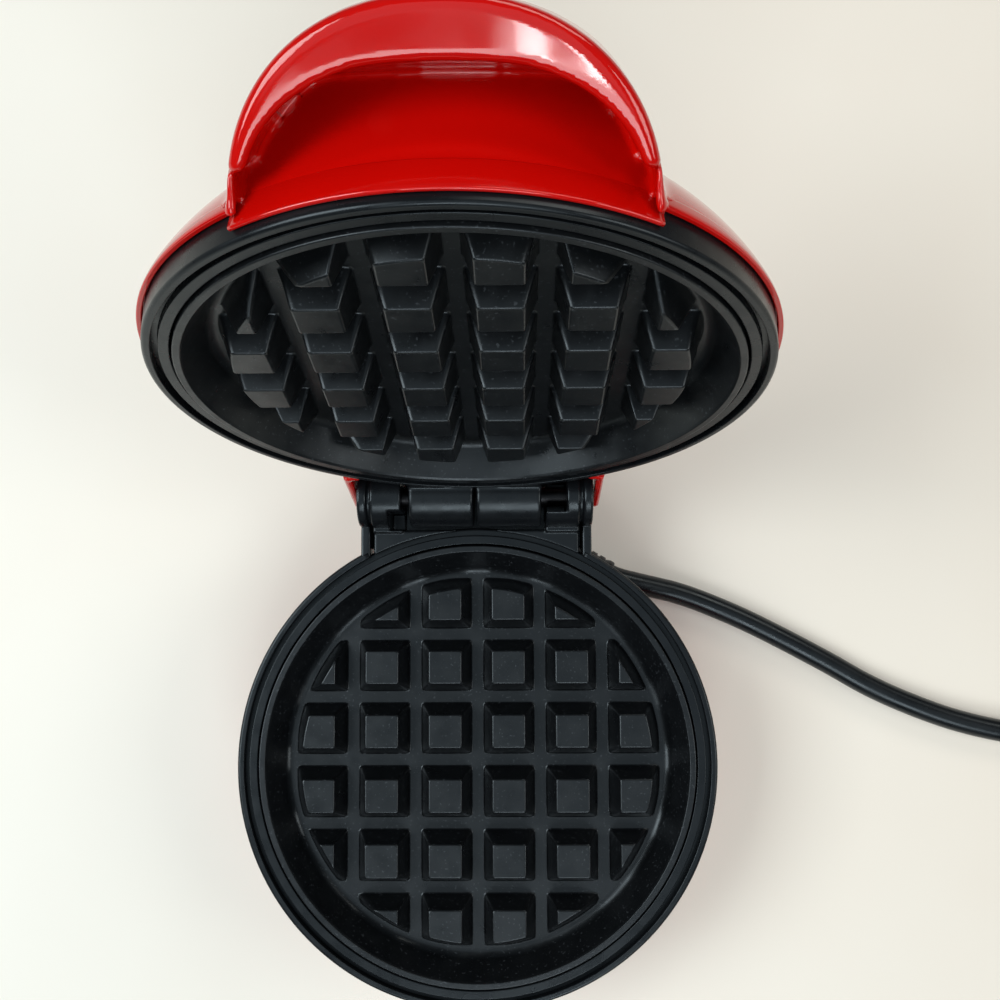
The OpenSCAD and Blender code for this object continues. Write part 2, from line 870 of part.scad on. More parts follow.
module lid_housing() {
    inner_half = block_half_w + 2 * gap;
    roof = barrel_r + hinge_z + 1;
    skirt_half_w = hood_half_w - 0.7;
    cover_wall = 2.6;
    cover_back = 77.5;
    cover_front = 56;
    color(red) on_lid() {
        difference() {
            union() {
                dome_solid(0, 5.8);
                hood_outer(0);
                // Skirt in front of the ring, below the finger pocket
                intersection() {
                    finger_wall(0);
                    block([-skirt_half_w, -90, hood_low_z], [skirt_half_w, 0, hood_low_z + 8]);
                }
                difference() {
                    rear_cover(inner_half + cover_wall, roof + cover_wall, cover_back);
                    translate([0, 0, -10]) cylinder(r = 60, h = 60);
                }
            }
            // Hollow of the dome
            dome_solid(wall, 4);
            // Rabbet that the ring's band fits into
            translate([0, 0, -1]) cylinder(r = ring_r + 0.2, h = ring_back + 1.2);
            intersection() {
                hood_outer(wall);
                finger_wall(wall);
                translate([-50, -90, 8]) cube([100, 90, 40]);
            }
            finger_pocket();
            // Room for the hinge
            block([-inner_half, cover_front, -5], [inner_half, cover_back + 10, roof]);
            translate([0, lens_y, 20]) cylinder(r = lens_r + 0.1, h = 30);
        }
        lid_posts();
    }
}

// Lens in the lid's top, with a flange inside
module indicator_lens() {
    lens_z = 31.6;
    flange_h = 1;
    color(amber) on_lid() translate([0, lens_y, lens_z]) {
        cylinder(r = lens_r, h = 3.6);
        translate([0, 0, -flange_h]) cylinder(r = lens_r + 0.9, h = flange_h + 0.2);
    }
}

module indicator_lamp() {
    lamp_z = 23;
    lamp_r = 2.2;
    socket_h = 2;
    color(amber) on_lid() translate([0, lens_y, lamp_z]) {
        cylinder(r = lamp_r, h = 7);
        translate([0, 0, -socket_h]) cylinder(r = lamp_r + 0.8, h = socket_h + 0.2);
    }
}

// ---- Cord ----

relief_start = [18.2, 58.4, 7.5 - parting_z];
relief_turn = -24;
relief_l = 21;
relief_r = 5;
relief_neck_r = 3.5;
// Route of the cord on the standing surface, from the strain relief to the coil, around the plate centre
route = [
    [37.4, 49.9, 7.5], [44.5, 46.6, 6.8], [52, 43.4, 5.2], [62, 39.6, 3.7], [73, 35.4, 3.1], [86, 29.6, 3.1],
    [99, 22.9, 3.1], [110, 17.3, 3.1], [121, 12.2, 3.1], [134, 7.4, 3.1], [148, 4, 3.1], [162, 2.3, 3.1],
    [176, 2, 3.1], [186, 2, 3.1]
];
coil_centre = [202, 39.2];
coil_tall = 1.9;
// End of the cord, from the top of the coil down to the plug
tail = [
    [236, 39.2, 8.9], [236, 52, 9], [236, 62, 8.4], [236, 72, 7], [236, 82, 6.3]
];

function unit(v) = v / norm(v);
function tangent(path, i) =
    unit(path[min(i + 1, len(path) - 1)] - path[max(i - 1, 0)]);

// Ring of points around one place of a path
function cord_ring(path, i, radius, sides, across) =
    let (t = tangent(path, i), side = unit(cross(t, across)), up = cross(side, t))
    [for (k = [0 : sides - 1]) path[i] + radius * (cos(360 * k / sides) * side + sin(360 * k / sides) * up)];

module cord_tube(path, diameter, sides, across = [0, 0, 1]) {
    count = len(path);
    points = [for (i = [0 : count - 1]) each cord_ring(path, i, diameter / 2, sides, across)];
    faces = concat(
        [[for (k = [0 : sides - 1]) k]],
        [for (i = [0 : count - 2], k = [0 : sides - 1])
            let (a = i * sides + k, b = i * sides + (k + 1) % sides)
            each [[a, a + sides, b + sides], [a, b + sides, b]]],
        [[for (k = [sides - 1 : -1 : 0]) (count - 1) * sides + k]]
    );
    polyhedron(points, faces);
}

// Puts something drawn along Z on the axis of the strain relief
module on_relief() {
    on_base() translate(relief_start) rotate([0, 90, relief_turn]) children();
}

module strain_relief() {
    color(black) on_relief() {
        translate([0, 0, -6]) cylinder(r = relief_neck_r, h = 6.1);
        cylinder(r1 = relief_r, r2 = cord_d / 2 + 0.9, h = relief_l);
    }
}

// Clamp inside the tower that holds the cord's two cores
module cord_grip() {
    color(black) on_base() difference() {
        block([3, 50, -30.7], [11, 57, -24.5]);
        for (x = [5.6, 8.4]) translate([x, 49, -27.5]) rotate([-90, 0, 0]) cylinder(d = lead_d + 0.2, h = 9);
    }
}

module power_cord() {
    color(black) translate([0, plate_y, 0]) {
        cord_tube(route, cord_d, 12);
        cord_tube(tail, cord_d, 12);
    }
}

module cord_coil() {
    wide = cord_d + 0.1;
    color(black) translate([coil_centre[0], coil_centre[1] + plate_y, 0])
        rotate_extrude()
            polygon([
                [coil_r - wide, 0], [coil_r + wide, 0], [coil_r + wide, cord_d],
                [coil_r + wide / 2, coil_tall * cord_d], [coil_r - wide / 2, coil_tall * cord_d],
                [coil_r - wide, cord_d]
            ]);
}

module coil_tie() {
    strap = 0.8;
    strap_w = 8;
    half = cord_d + 0.1;
    tall = coil_tall * cord_d + strap;
    color(black) translate([coil_centre[0], coil_centre[1] + plate_y, 0]) rotate(60)
        translate([coil_r, -strap_w / 2, 0]) difference() {
            block([-half - strap, 0, 0], [half + strap, strap_w, tall]);
            block([-half, -1, strap / 2], [half, strap_w + 1, tall - strap]);
        }
}

plug_at = [tail[4][0], tail[4][1], 0];
plug_l = 22;
plug_w = 20;
plug_h = 12.6;
plug_neck = 15;

module plug_outline() {
    round_r = 2;
    square([plug_w, plug_l - 2 * round_r], center = true);
    square([plug_w - 2 * round_r, plug_l], center = true);
    for (x = [-1, 1], y = [-1, 1])
        translate([x * (plug_w / 2 - round_r), y * (plug_l / 2 - round_r)]) circle(r = round_r);
}

module plug_body() {
    color(black) translate([0, plate_y, 0] + plug_at) {
        translate([0, plug_neck - 0.1 + plug_l / 2, 0]) linear_extrude(plug_h) plug_outline();
        translate([0, 0, plug_h / 2])
            rotate([-90, 0, 0])
                cylinder(r1 = cord_d / 2 + 0.7, r2 = 5.4, h = plug_neck);
    }
}

module plug_blades() {
    spacing = 12.7;
    half_t = 0.75;
    half_h = 3.15;
    blade_l = 16;
    color(steel) translate([0, plate_y, 0] + plug_at)
        for (side = [-1, 1])
            translate([side * spacing / 2, plug_neck + plug_l, plug_h / 2])
                block([-half_t, -0.1, -half_h], [half_t, blade_l, half_h]);
}

base_housing();
bottom_cover();
feet();
base_bezel();
lower_plate();
lower_heater();
lower_reflector();
thermostat();
thermostat_strap();
thermal_fuse();
terminal_block();
base_leads();
cover_screws();
base_bezel_screws();
lower_plate_screws();
hinge_pins();
strain_relief();
cord_grip();
power_cord();
cord_coil();
coil_tie();
plug_body();
plug_blades();
lid_housing();
lid_bezel();
upper_plate();
upper_heater();
upper_reflector();
lid_leads();
lid_bezel_screws();
upper_plate_screws();
indicator_lens();
indicator_lamp();
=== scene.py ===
"""Looks of a small round waffle maker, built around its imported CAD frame.

Shapes are worked out in millimetres around the middle of the cooking plates, on the plane where the two
halves meet, with the lid closed. base_place and lid_place put them where the CAD frame has them.
"""

import json
import math

import bpy
import numpy as np
from mathutils import Euler, Matrix, Vector


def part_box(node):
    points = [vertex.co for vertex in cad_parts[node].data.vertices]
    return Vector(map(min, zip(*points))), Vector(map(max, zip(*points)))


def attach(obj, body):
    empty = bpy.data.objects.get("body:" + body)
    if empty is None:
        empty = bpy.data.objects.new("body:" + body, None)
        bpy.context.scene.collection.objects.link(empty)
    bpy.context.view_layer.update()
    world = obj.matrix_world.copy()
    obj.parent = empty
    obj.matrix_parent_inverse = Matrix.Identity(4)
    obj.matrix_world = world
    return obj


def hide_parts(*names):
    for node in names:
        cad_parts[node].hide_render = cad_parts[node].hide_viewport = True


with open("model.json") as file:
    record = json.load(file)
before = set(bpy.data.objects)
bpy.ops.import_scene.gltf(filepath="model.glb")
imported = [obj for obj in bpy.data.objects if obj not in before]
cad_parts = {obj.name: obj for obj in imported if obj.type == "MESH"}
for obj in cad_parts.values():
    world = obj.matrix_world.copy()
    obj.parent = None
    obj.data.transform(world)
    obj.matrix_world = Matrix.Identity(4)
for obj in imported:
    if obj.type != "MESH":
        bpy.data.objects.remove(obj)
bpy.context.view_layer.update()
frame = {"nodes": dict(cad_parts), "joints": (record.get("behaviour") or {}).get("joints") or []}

MM = 0.001

# ---- Places taken from the frame ----

RIM_DROP = 0.4
plate_low, plate_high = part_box("lower_plate")
centre_y = (plate_low.y + plate_high.y) / 2
parting_z = plate_high.z + RIM_DROP * MM
hinge = frame["joints"][0]
hinge_at = Vector(hinge["pos_m"])
open_by = math.radians(hinge["range_deg"][1])
HINGE_Y = (hinge_at.y - centre_y) / MM
HINGE_Z = (hinge_at.z - parting_z) / MM

base_place = Matrix.Translation((0, centre_y, parting_z)) @ Matrix.Scale(MM, 4)
swing = Matrix.Translation(hinge_at) @ Matrix.Rotation(-open_by, 4, "X") @ Matrix.Translation(-hinge_at)
lid_place = swing @ base_place
turned_over = Matrix.Diagonal((1, 1, -1, 1))

# ---- Sizes in millimetres ----

# Cooking plates: pegs that widen towards the dish, and the circle that trims the outer ones
PITCH = 16.5
PEG_PLACES = [(k + 0.5) * PITCH for k in range(-3, 3)]
PEG_TOP, PEG_FOOT = 4.3, 6.6
PEG_Z, DISH_Z = -1.5, -9.0
TRIM_TOP, TRIM_FOOT = 45.5, 48.3
DISH_R, RIM_IN, RIM_OUT = 50.4, 54.5, 56.4
PLATE_BACK = -11.5

# Black rings around the plates, and the play around them
RING_R, RING_Z = 62.0, -0.8
PLAY = 0.2

# Lid: its dome, the wall's thickness, where it is hollow, and the thin rim beside the ring
DOME_R, DOME_LOW, DOME_TOP = 63.25, 6.4, 36.4
DOME_ROUND, DOME_RISE = 3.6, 1.2
WALL = 2.2
DOME_HOLLOW_LOW, HOOD_HOLLOW_LOW = 3, 8
RIM_LOW, RABBET_TOP, THIN_TOP = 5.8, 7.2, 7.8
RIM_ROOM_R = 61.9

# Handle: an arched hood that rises from a tilted front plane, under a faintly crowned top
HOOD_Y, HOOD_Z, HOOD_TILT = -52.8, 2.7, math.radians(42)
HOOD_HALF_W, HOOD_TALL, HOOD_ROUND, HOOD_DEEP = 34.3, 33.4, 2.2, 66
CROWN_R, CROWN_Y, CROWN_RISE = 220.0, -15, 0.8

# Finger pocket: its mouth, the fins at the mouth's foot, the leaning wall behind the fingers, its ceiling
MOUTH_HALF_W, MOUTH_TOP, MOUTH_ROUND = 32.0, 24.8, 2.3
FIN_IN, FIN_TOP = 32.7, 8.5
FINGER_R, FINGER_Z, FINGER_LEAN = 64.4, -5, 6 / 35
POCKET_SLOPE, POCKET_BACK = math.radians(34), -30
SKIRT_BACK = -45

# Hinge cover on the lid, and the room under it
COVER_HALF_W, COVER_BACK, COVER_TOP, COVER_CORNER = 32.6, 77.5, 12.4, 6.0
COVER_FRONT, COVER_KEPT = 52, 31.5
HINGE_ROOM_HALF_W, HINGE_ROOM_FRONT, HINGE_ROOM_TOP = 30.7, 56, 9.8

# Hole for the indicator lens
LENS_Y, LENS_HOLE_R, LENS_HOLE_LOW = -38, 2.7, 20

# Base: its bowl, the tower behind it, the notch for the hinge, the mouth for its cover, the screw holes
BOWL_TOP, BOWL_LOW, BOWL_TOP_R, BOWL_LOW_R, BOWL_TURN = -7.2, -33.0, 61.6, 44.0, math.radians(80)
BOWL_HOLLOW_TOP, BOWL_HOLLOW_LOW = -6, -32
TOWER_HALF_W, TOWER_BACK, TOWER_CORNER, TOWER_TOP, TOWER_FRONT = 16.0, 68.0, 6.0, -14.7, 30
NOTCH_HALF_W, NOTCH_FRONT = 30.6, 50
COVER_MOUTH_R, COVER_MOUTH_TOP = 40.1, -30
RING_SCREW_CIRCLE, RING_SCREW_HOLE_R, RING_SCREW_HOLE_TOP = 51.5, 3.0, -22

# Hinge: the base's ears, knuckles and step, and the lid's arms with the bores for the pins
BARREL_R = 7.8
EAR_IN, EAR_OUT, KNUCKLE_OUT, STEP_Y = 27.8, 30.2, 26.8, 60.4
LEFT_KNUCKLE_IN, RIGHT_KNUCKLE_IN = 19, 18.2
BLOCK_FRONT, BLOCK_LOW = 53, -14.5
ARM_IN, ARM_OUT = 0.45, 16.9
PIN_BORE_R, PIN_BORE_IN = 2.55, 7.5

CORD_D = 6.2


# ---- Distance fields ----


def smooth_max(a, b, k):
    """The larger of two distances, with the edge between them rounded."""
    near = np.maximum(k - np.abs(a - b), 0) / k
    return np.maximum(a, b) + near * near * k / 4


def smooth_min(a, b, k):
    return -smooth_max(-a, -b, k)


def box_field(p, low, high, k=0.6):
    """Distance to a box with rounded edges."""
    out = None
    for axis in range(3):
        side = np.maximum(low[axis] - p[:, axis], p[:, axis] - high[axis])
        out = side if out is None else smooth_max(out, side, k)
    return out


def super_curve(u, v, half_u, half_v, power_u, power_v):
    """About the distance to a superellipse in the upper half plane, and to its straight sides below."""
    a = np.abs(u) / half_u
    b = np.maximum(v, 0) / half_v
    value = a**power_u + b**power_v - 1
    slope = np.hypot(power_u * a ** (power_u - 1) / half_u, power_v * b ** (power_v - 1) / half_v)
    return value / np.maximum(slope, 0.01)


def dome_field(p, inset=0.0):
    """The lid's round dome."""
    radius = np.hypot(p[:, 0], p[:, 1])
    half_r, tall = DOME_R - inset, DOME_TOP - DOME_LOW - inset
    return super_curve(radius, p[:, 2] - DOME_LOW, half_r, tall, DOME_ROUND, DOME_RISE)


def hood_axes(p):
    """Places across, up along and behind the handle's tilted front plane."""
    y, z = p[:, 1] - HOOD_Y, p[:, 2] - HOOD_Z
    up = -y * math.cos(HOOD_TILT) + z * math.sin(HOOD_TILT)
    behind = y * math.sin(HOOD_TILT) + z * math.cos(HOOD_TILT)
    return p[:, 0], up, behind


def finger_wall(p, inset=0.0):
    """The round wall behind the fingers, which leans back as it rises."""
    radius = np.hypot(p[:, 0], p[:, 1])
    wall_r = FINGER_R - inset - FINGER_LEAN * (p[:, 2] - FINGER_Z)
    return (radius - wall_r) * math.cos(math.atan(FINGER_LEAN))


def hood_field(p, inset=0.0):
    """The handle's hood: an arch that runs back over the dome from the tilted plane."""
    across, up, behind = hood_axes(p)
    arch = super_curve(across, up, HOOD_HALF_W - inset, HOOD_TALL - inset, HOOD_ROUND, HOOD_ROUND)
    above = p[:, 2] - DOME_TOP + CROWN_R - CROWN_RISE
    top = np.sqrt(p[:, 0] ** 2 + (p[:, 1] - CROWN_Y) ** 2 + above**2) - CROWN_R + inset
    hood = smooth_max(arch, top, 1.2)
    hood = smooth_max(hood, -behind, 2.2)
    hood = np.maximum(hood, behind - HOOD_DEEP)
    return smooth_max(hood, HOOD_Z - p[:, 2], 1.0)


def pocket_field(p):
    """The finger pocket behind the arch, with a mouth that widens between the thin fins at its foot."""
    across, up, _ = hood_axes(p)
    arch = super_curve(across, up, MOUTH_HALF_W, MOUTH_TOP, MOUTH_ROUND, MOUTH_ROUND)
    arch = smooth_min(arch, np.maximum(np.abs(across) - FIN_IN, up - FIN_TOP), 1.5)
    mouth_y = HOOD_Y - MOUTH_TOP * math.cos(HOOD_TILT)
    mouth_z = HOOD_Z + MOUTH_TOP * math.sin(HOOD_TILT)
    ceiling = (p[:, 2] - mouth_z) * math.cos(POCKET_SLOPE) - (p[:, 1] - mouth_y) * math.sin(POCKET_SLOPE)
    hollow = smooth_max(arch, ceiling, 1.6)
    return smooth_max(np.maximum(hollow, p[:, 1] - POCKET_BACK), -finger_wall(p), 1.4)


def rear_cover_field(p):
    """The lid's cover over the hinge."""
    y = np.maximum(p[:, 1] - (COVER_BACK - COVER_CORNER), 0)
    z = np.maximum(p[:, 2] - (COVER_TOP - COVER_CORNER), 0)
    edge = np.hypot(y, z) - COVER_CORNER
    side = np.abs(p[:, 0]) - COVER_HALF_W
    cover = smooth_max(edge, side, 1.6)
    cover = smooth_max(cover, HINGE_Z - 0.2 - p[:, 2], 1.0)
    return np.maximum(cover, COVER_FRONT - p[:, 1])


def lid_field(p):
    """The lid's shell: dome, hooded handle with its finger pocket, skirt and hinge cover."""
    radius = np.hypot(p[:, 0], p[:, 1])
    dome = dome_field(p)
    hood = hood_field(p)
    edge = smooth_max(dome, RIM_LOW - p[:, 2], 0.9)
    cover = rear_cover_field(p)
    body = smooth_min(edge, hood, 2.4)
    body = smooth_min(body, cover, 2.0)
    body = smooth_max(body, -pocket_field(p), 1.2)
    hollow = np.maximum(dome_field(p, WALL), DOME_HOLLOW_LOW - p[:, 2])
    inner_hood = np.maximum(hood_field(p, WALL), finger_wall(p, WALL))
    hollow = smooth_min(hollow, np.maximum(inner_hood, HOOD_HOLLOW_LOW - p[:, 2]), 1.0)
    rabbet = np.maximum(radius - RING_R - PLAY, p[:, 2] - RABBET_TOP)
    room_low = (-HINGE_ROOM_HALF_W, HINGE_ROOM_FRONT, -20)
    room = box_field(p, room_low, (HINGE_ROOM_HALF_W, 95, HINGE_ROOM_TOP), 1.0)
    lens = np.maximum(np.hypot(p[:, 0], p[:, 1] - LENS_Y) - LENS_HOLE_R, LENS_HOLE_LOW - p[:, 2])
    cuts = np.minimum(np.minimum(hollow, rabbet), np.minimum(room, lens))
    body = smooth_max(body, -cuts, 0.6)
    # Room for the turned rim and skirt. The skirt is only in front, and the hinge cover stays whole
    skirt = finger_wall(p) + np.where(p[:, 1] < SKIRT_BACK, 0, 9)
    inside = np.minimum(dome, skirt) - 0.02
    rim_room = np.maximum(np.maximum(inside, p[:, 2] - THIN_TOP), RIM_ROOM_R - radius)
    beside_cover = np.where(p[:, 1] > 0, COVER_KEPT - np.abs(p[:, 0]), -1)
    return np.maximum(body, -np.maximum(rim_room, beside_cover))


def bowl_radius(z):
    """Outside radius of the base bowl at a height."""
    sine = np.clip((BOWL_TOP - z) / (BOWL_TOP - BOWL_LOW), 0, 1) * math.sin(BOWL_TURN)
    cosine = np.sqrt(1 - sine * sine)
    end = math.cos(BOWL_TURN)
    return BOWL_LOW_R + (BOWL_TOP_R - BOWL_LOW_R) * (cosine - end) / (1 - end)


def base_field(p):
    """The red base: a bowl with a tower behind it."""
    radius = np.hypot(p[:, 0], p[:, 1])
    out = (radius - bowl_radius(p[:, 2])) * 0.8  # a little less than sideways, because the bowl slopes
    bowl = smooth_max(smooth_max(out, BOWL_LOW - p[:, 2], 3.0), p[:, 2] - BOWL_TOP, 0.5)
    x = np.maximum(np.abs(p[:, 0]) - (TOWER_HALF_W - TOWER_CORNER), 0)
    y = np.maximum(p[:, 1] - (TOWER_BACK - TOWER_CORNER), 0)
    tower = np.maximum(np.hypot(x, y) - TOWER_CORNER, TOWER_FRONT - p[:, 1])
    tower = smooth_max(smooth_max(tower, BOWL_LOW - p[:, 2], 1.2), p[:, 2] - TOWER_TOP, 1.0)
    body = smooth_min(bowl, tower, 3.0)
    inner = np.maximum(out + WALL, np.maximum(p[:, 2] - BOWL_HOLLOW_TOP, BOWL_HOLLOW_LOW - p[:, 2]))
    mouth = np.maximum(radius - COVER_MOUTH_R, p[:, 2] - COVER_MOUTH_TOP)
    notch = box_field(p, (-NOTCH_HALF_W, NOTCH_FRONT, TOWER_TOP), (NOTCH_HALF_W, 90, 2), 0.3)
    cuts = np.minimum(np.minimum(inner, mouth), notch)
    for turn in (0, 120, 240):
        a = math.radians(turn)
        x, y = RING_SCREW_CIRCLE * math.cos(a), RING_SCREW_CIRCLE * math.sin(a)
        hole = np.hypot(p[:, 0] - x, p[:, 1] - y) - RING_SCREW_HOLE_R
        cuts = np.minimum(cuts, np.maximum(hole, p[:, 2] - RING_SCREW_HOLE_TOP))
    return smooth_max(body, -cuts, 0.6)


# ---- Meshes ----


def surface_net(field, low, high, step):
    """Vertices and quads of the surface on which a distance field is zero."""
    axes = [np.arange(a, b + step, step) for a, b in zip(low, high)]
    grid = np.stack(np.meshgrid(*axes, indexing="ij"), -1)
    value = field(grid.reshape(-1, 3)).reshape(grid.shape[:3])
    inside = value < 0
    cells = tuple(n - 1 for n in value.shape)
    total = np.zeros((*cells, 3))
    count = np.zeros(cells, int)
    crossings = []
    for axis in range(3):
        one = tuple(slice(0, -1) if k == axis else slice(None) for k in range(3))
        two = tuple(slice(1, None) if k == axis else slice(None) for k in range(3))
        crossed = inside[one] != inside[two]
        start, end = value[one][crossed], value[two][crossed]
        at = np.argwhere(crossed)
        point = grid[one][crossed]
        point[:, axis] += step * start / (start - end)
        others = [k for k in range(3) if k != axis]
        around = []
        for back in ((0, 0), (1, 0), (1, 1), (0, 1)):
            cell = at.copy()
            cell[:, others] -= back
            np.add.at(total, tuple(cell.T), point)
            np.add.at(count, tuple(cell.T), 1)
            around.append(cell)
        crossings.append((axis, inside[one][crossed], around))
    used = count > 0
    index = np.cumsum(used.ravel()).reshape(cells) - 1
    quads = []
    for axis, first_inside, around in crossings:
        quad = np.stack([index[tuple(c.T)] for c in around], 1)
        turn = first_inside == (axis == 1)
        quad[turn] = quad[turn][:, ::-1]
        quads.append(quad)
    return settle(field, total[used] / count[used][:, None], step), np.concatenate(quads)


def settle(field, points, reach, rounds=5, h=0.02):
    """Moves points onto the surface on which a field is zero."""
    for _ in range(rounds):
        value = field(points)
        slope = np.stack(
            [(field(points + h * e) - field(points - h * e)) / (2 * h) for e in np.eye(3)], 1
        )
        move = value[:, None] * slope / np.maximum((slope**2).sum(1), 0.1)[:, None]
        points = points - np.clip(move, -reach / 3, reach / 3)
    return points


def revolve(profile, steps, turn=(0.0, 360.0)):
    """A closed profile of radius and height points, turned around Z."""
    full = abs(turn[1] - turn[0]) >= 360
    angles = np.radians(np.linspace(turn[0], turn[1], steps + 1))
    angles = angles[:-1] if full else angles
    points = [(r * math.cos(a), r * math.sin(a), z) for a in angles for r, z in profile]
    n, rings = len(profile), len(angles)
    faces = []
    for i in range(rings if full else rings - 1):
        a, b = i * n, (i + 1) % rings * n
        faces += [(a + k, b + k, b + (k + 1) % n, a + (k + 1) % n) for k in range(n)]
    if not full:
        faces += [tuple(range(n)), tuple(reversed(range((rings - 1) * n, rings * n)))]
    return points, faces


def rounded(corners, steps=4, support=0.03):
    """Corners of u, v and radius as points, each corner an arc between straight runs that stay flat."""
    out = []
    n = len(corners)
    for i, (u, v, radius) in enumerate(corners):
        here = Vector((u, v))
        before, after = Vector(corners[i - 1][:2]) - here, Vector(corners[(i + 1) % n][:2]) - here
        if radius <= 0:
            out.append((u, v))
            continue
        bend = before.angle(after)
        cut = radius / math.tan(bend / 2)
        cut = min(cut, 0.45 * before.length, 0.45 * after.length)
        radius = cut * math.tan(bend / 2)
        one, two = here + before.normalized() * cut, here + after.normalized() * cut
        inward = (before.normalized() + after.normalized()).normalized()
        middle = here + inward * (radius / math.sin(bend / 2))
        out.append(tuple(here + before.normalized() * min(cut + support, 0.5 * before.length)))
        start, end = one - middle, two - middle
        for k in range(steps + 1):
            t = k / steps
            swing_to = start.lerp(end, t).normalized() * radius
            out.append(tuple(middle + swing_to))
        out.append(tuple(here + after.normalized() * min(cut + support, 0.5 * after.length)))
    return out


def sweep(path, outline, across=(0, 0, 1), closed=False):
    """A solid that follows a path. outline gives the section's points in each place of the path."""
    path = np.asarray(path, float)
    n = len(path)
    ahead = np.roll(path, -1, 0) if closed else np.vstack([path[1:], path[-1:]])
    behind = np.roll(path, 1, 0) if closed else np.vstack([path[:1], path[:-1]])
    points, faces = [], []
    for i in range(n):
        forward = Vector(ahead[i] - behind[i]).normalized()
        side = forward.cross(Vector(across)).normalized()
        up = side.cross(forward)
        section = outline(i)
        points += [tuple(Vector(path[i]) + side * u + up * v) for u, v in section]
    m = len(section)
    for i in range(n if closed else n - 1):
        a, b = i * m, (i + 1) % n * m
        faces += [(a + k, a + (k + 1) % m, b + (k + 1) % m, b + k) for k in range(m)]
    if not closed:
        faces += [tuple(reversed(range(m))), tuple(range((n - 1) * m, n * m))]
    return points, faces


def round_section(radius, sides=24):
    return [
        (radius * math.cos(2 * math.pi * k / sides), radius * math.sin(2 * math.pi * k / sides))
        for k in range(sides)
    ]


def through(points, per_span=6):
    """A smooth curve through points."""
    p = np.asarray(points, float)
    p = np.vstack([2 * p[0] - p[1], p, 2 * p[-1] - p[-2]])
    out = []
    for i in range(1, len(p) - 2):
        for t in np.arange(per_span) / per_span:
            a, b, c, d = p[i - 1], p[i], p[i + 1], p[i + 2]
            bend, twist = 2 * a - 5 * b + 4 * c - d, 3 * b - a - 3 * c + d
            out.append(0.5 * (2 * b + (c - a) * t + bend * t**2 + twist * t**3))
    out.append(p[-2])
    return np.array(out)


def joined(*meshes):
    """Several lists of points and faces as one."""
    points, faces = [], []
    for more_points, more_faces in meshes:
        start = len(points)
        points += [tuple(p) for p in more_points]
        faces += [tuple(start + k for k in f) for f in more_faces]
    return points, faces


def moved(mesh, matrix):
    points, faces = mesh
    if matrix.determinant() < 0:
        faces = [tuple(reversed(f)) for f in faces]
    return [tuple(matrix @ Vector(p)) for p in points], faces


def piece(name, mesh, place, body, material, replaces=()):
    """A finished object that rides on a body and stands for CAD nodes."""
    points, faces = mesh
    data = bpy.data.meshes.new(name)
    data.from_pydata([tuple(p) for p in points], [], [tuple(int(k) for k in f) for f in faces])
    data.transform(place)
    if place.determinant() < 0:
        data.flip_normals()
    data.update()
    data.shade_smooth()
    data.materials.append(material)
    obj = bpy.data.objects.new(name, data)
    bpy.context.scene.collection.objects.link(obj)
    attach(obj, body)
    if replaces:
        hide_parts(*replaces)
    return obj


def thin_rim():
    """The dome's thin lower rim beside the ring, and the skirt under the finger pocket."""
    def dome_r(z):
        rise = (max(z - DOME_LOW, 0) / (DOME_TOP - DOME_LOW)) ** DOME_RISE
        return DOME_R * (1 - rise) ** (1 / DOME_ROUND)

    def wall_r(z):
        return FINGER_R - FINGER_LEAN * (z - FINGER_Z)

    top, inner, within, proud = THIN_TOP + 1.0, RING_R + PLAY, 60.6, 0.04
    ledge = [(within, top, 0), (within, RABBET_TOP, 0), (inner, RABBET_TOP, 0.1)]
    rim = [(inner, RIM_LOW, 0.25), (DOME_R + proud, RIM_LOW, 0.4), (DOME_R + proud, DOME_LOW, 0)]
    rim += [(dome_r(z) + proud, z, 0) for z in (6.7, 7.0, 7.3, 7.7, 8.2, top - 0.2)]
    rim += [(dome_r(top) - proud, top, 0)] + ledge
    skirt = [(inner, HOOD_Z, 0.25), (wall_r(HOOD_Z) + proud, HOOD_Z, 0.35)]
    skirt += [(wall_r(top - 0.2) + proud, top - 0.2, 0), (wall_r(top) - proud, top, 0)] + ledge
    side, back = 32.6, 29.9  # degrees from the front and from the back at which the rim stops
    return joined(
        revolve(rounded(rim), 160, turn=(90 + back, 270 - side)),
        revolve(rounded(rim), 160, turn=(270 + side, 450 - back)),
        revolve(rounded(skirt), 80, turn=(270 - side - 0.4, 270 + side + 0.4)),
    )


# ---- Materials ----


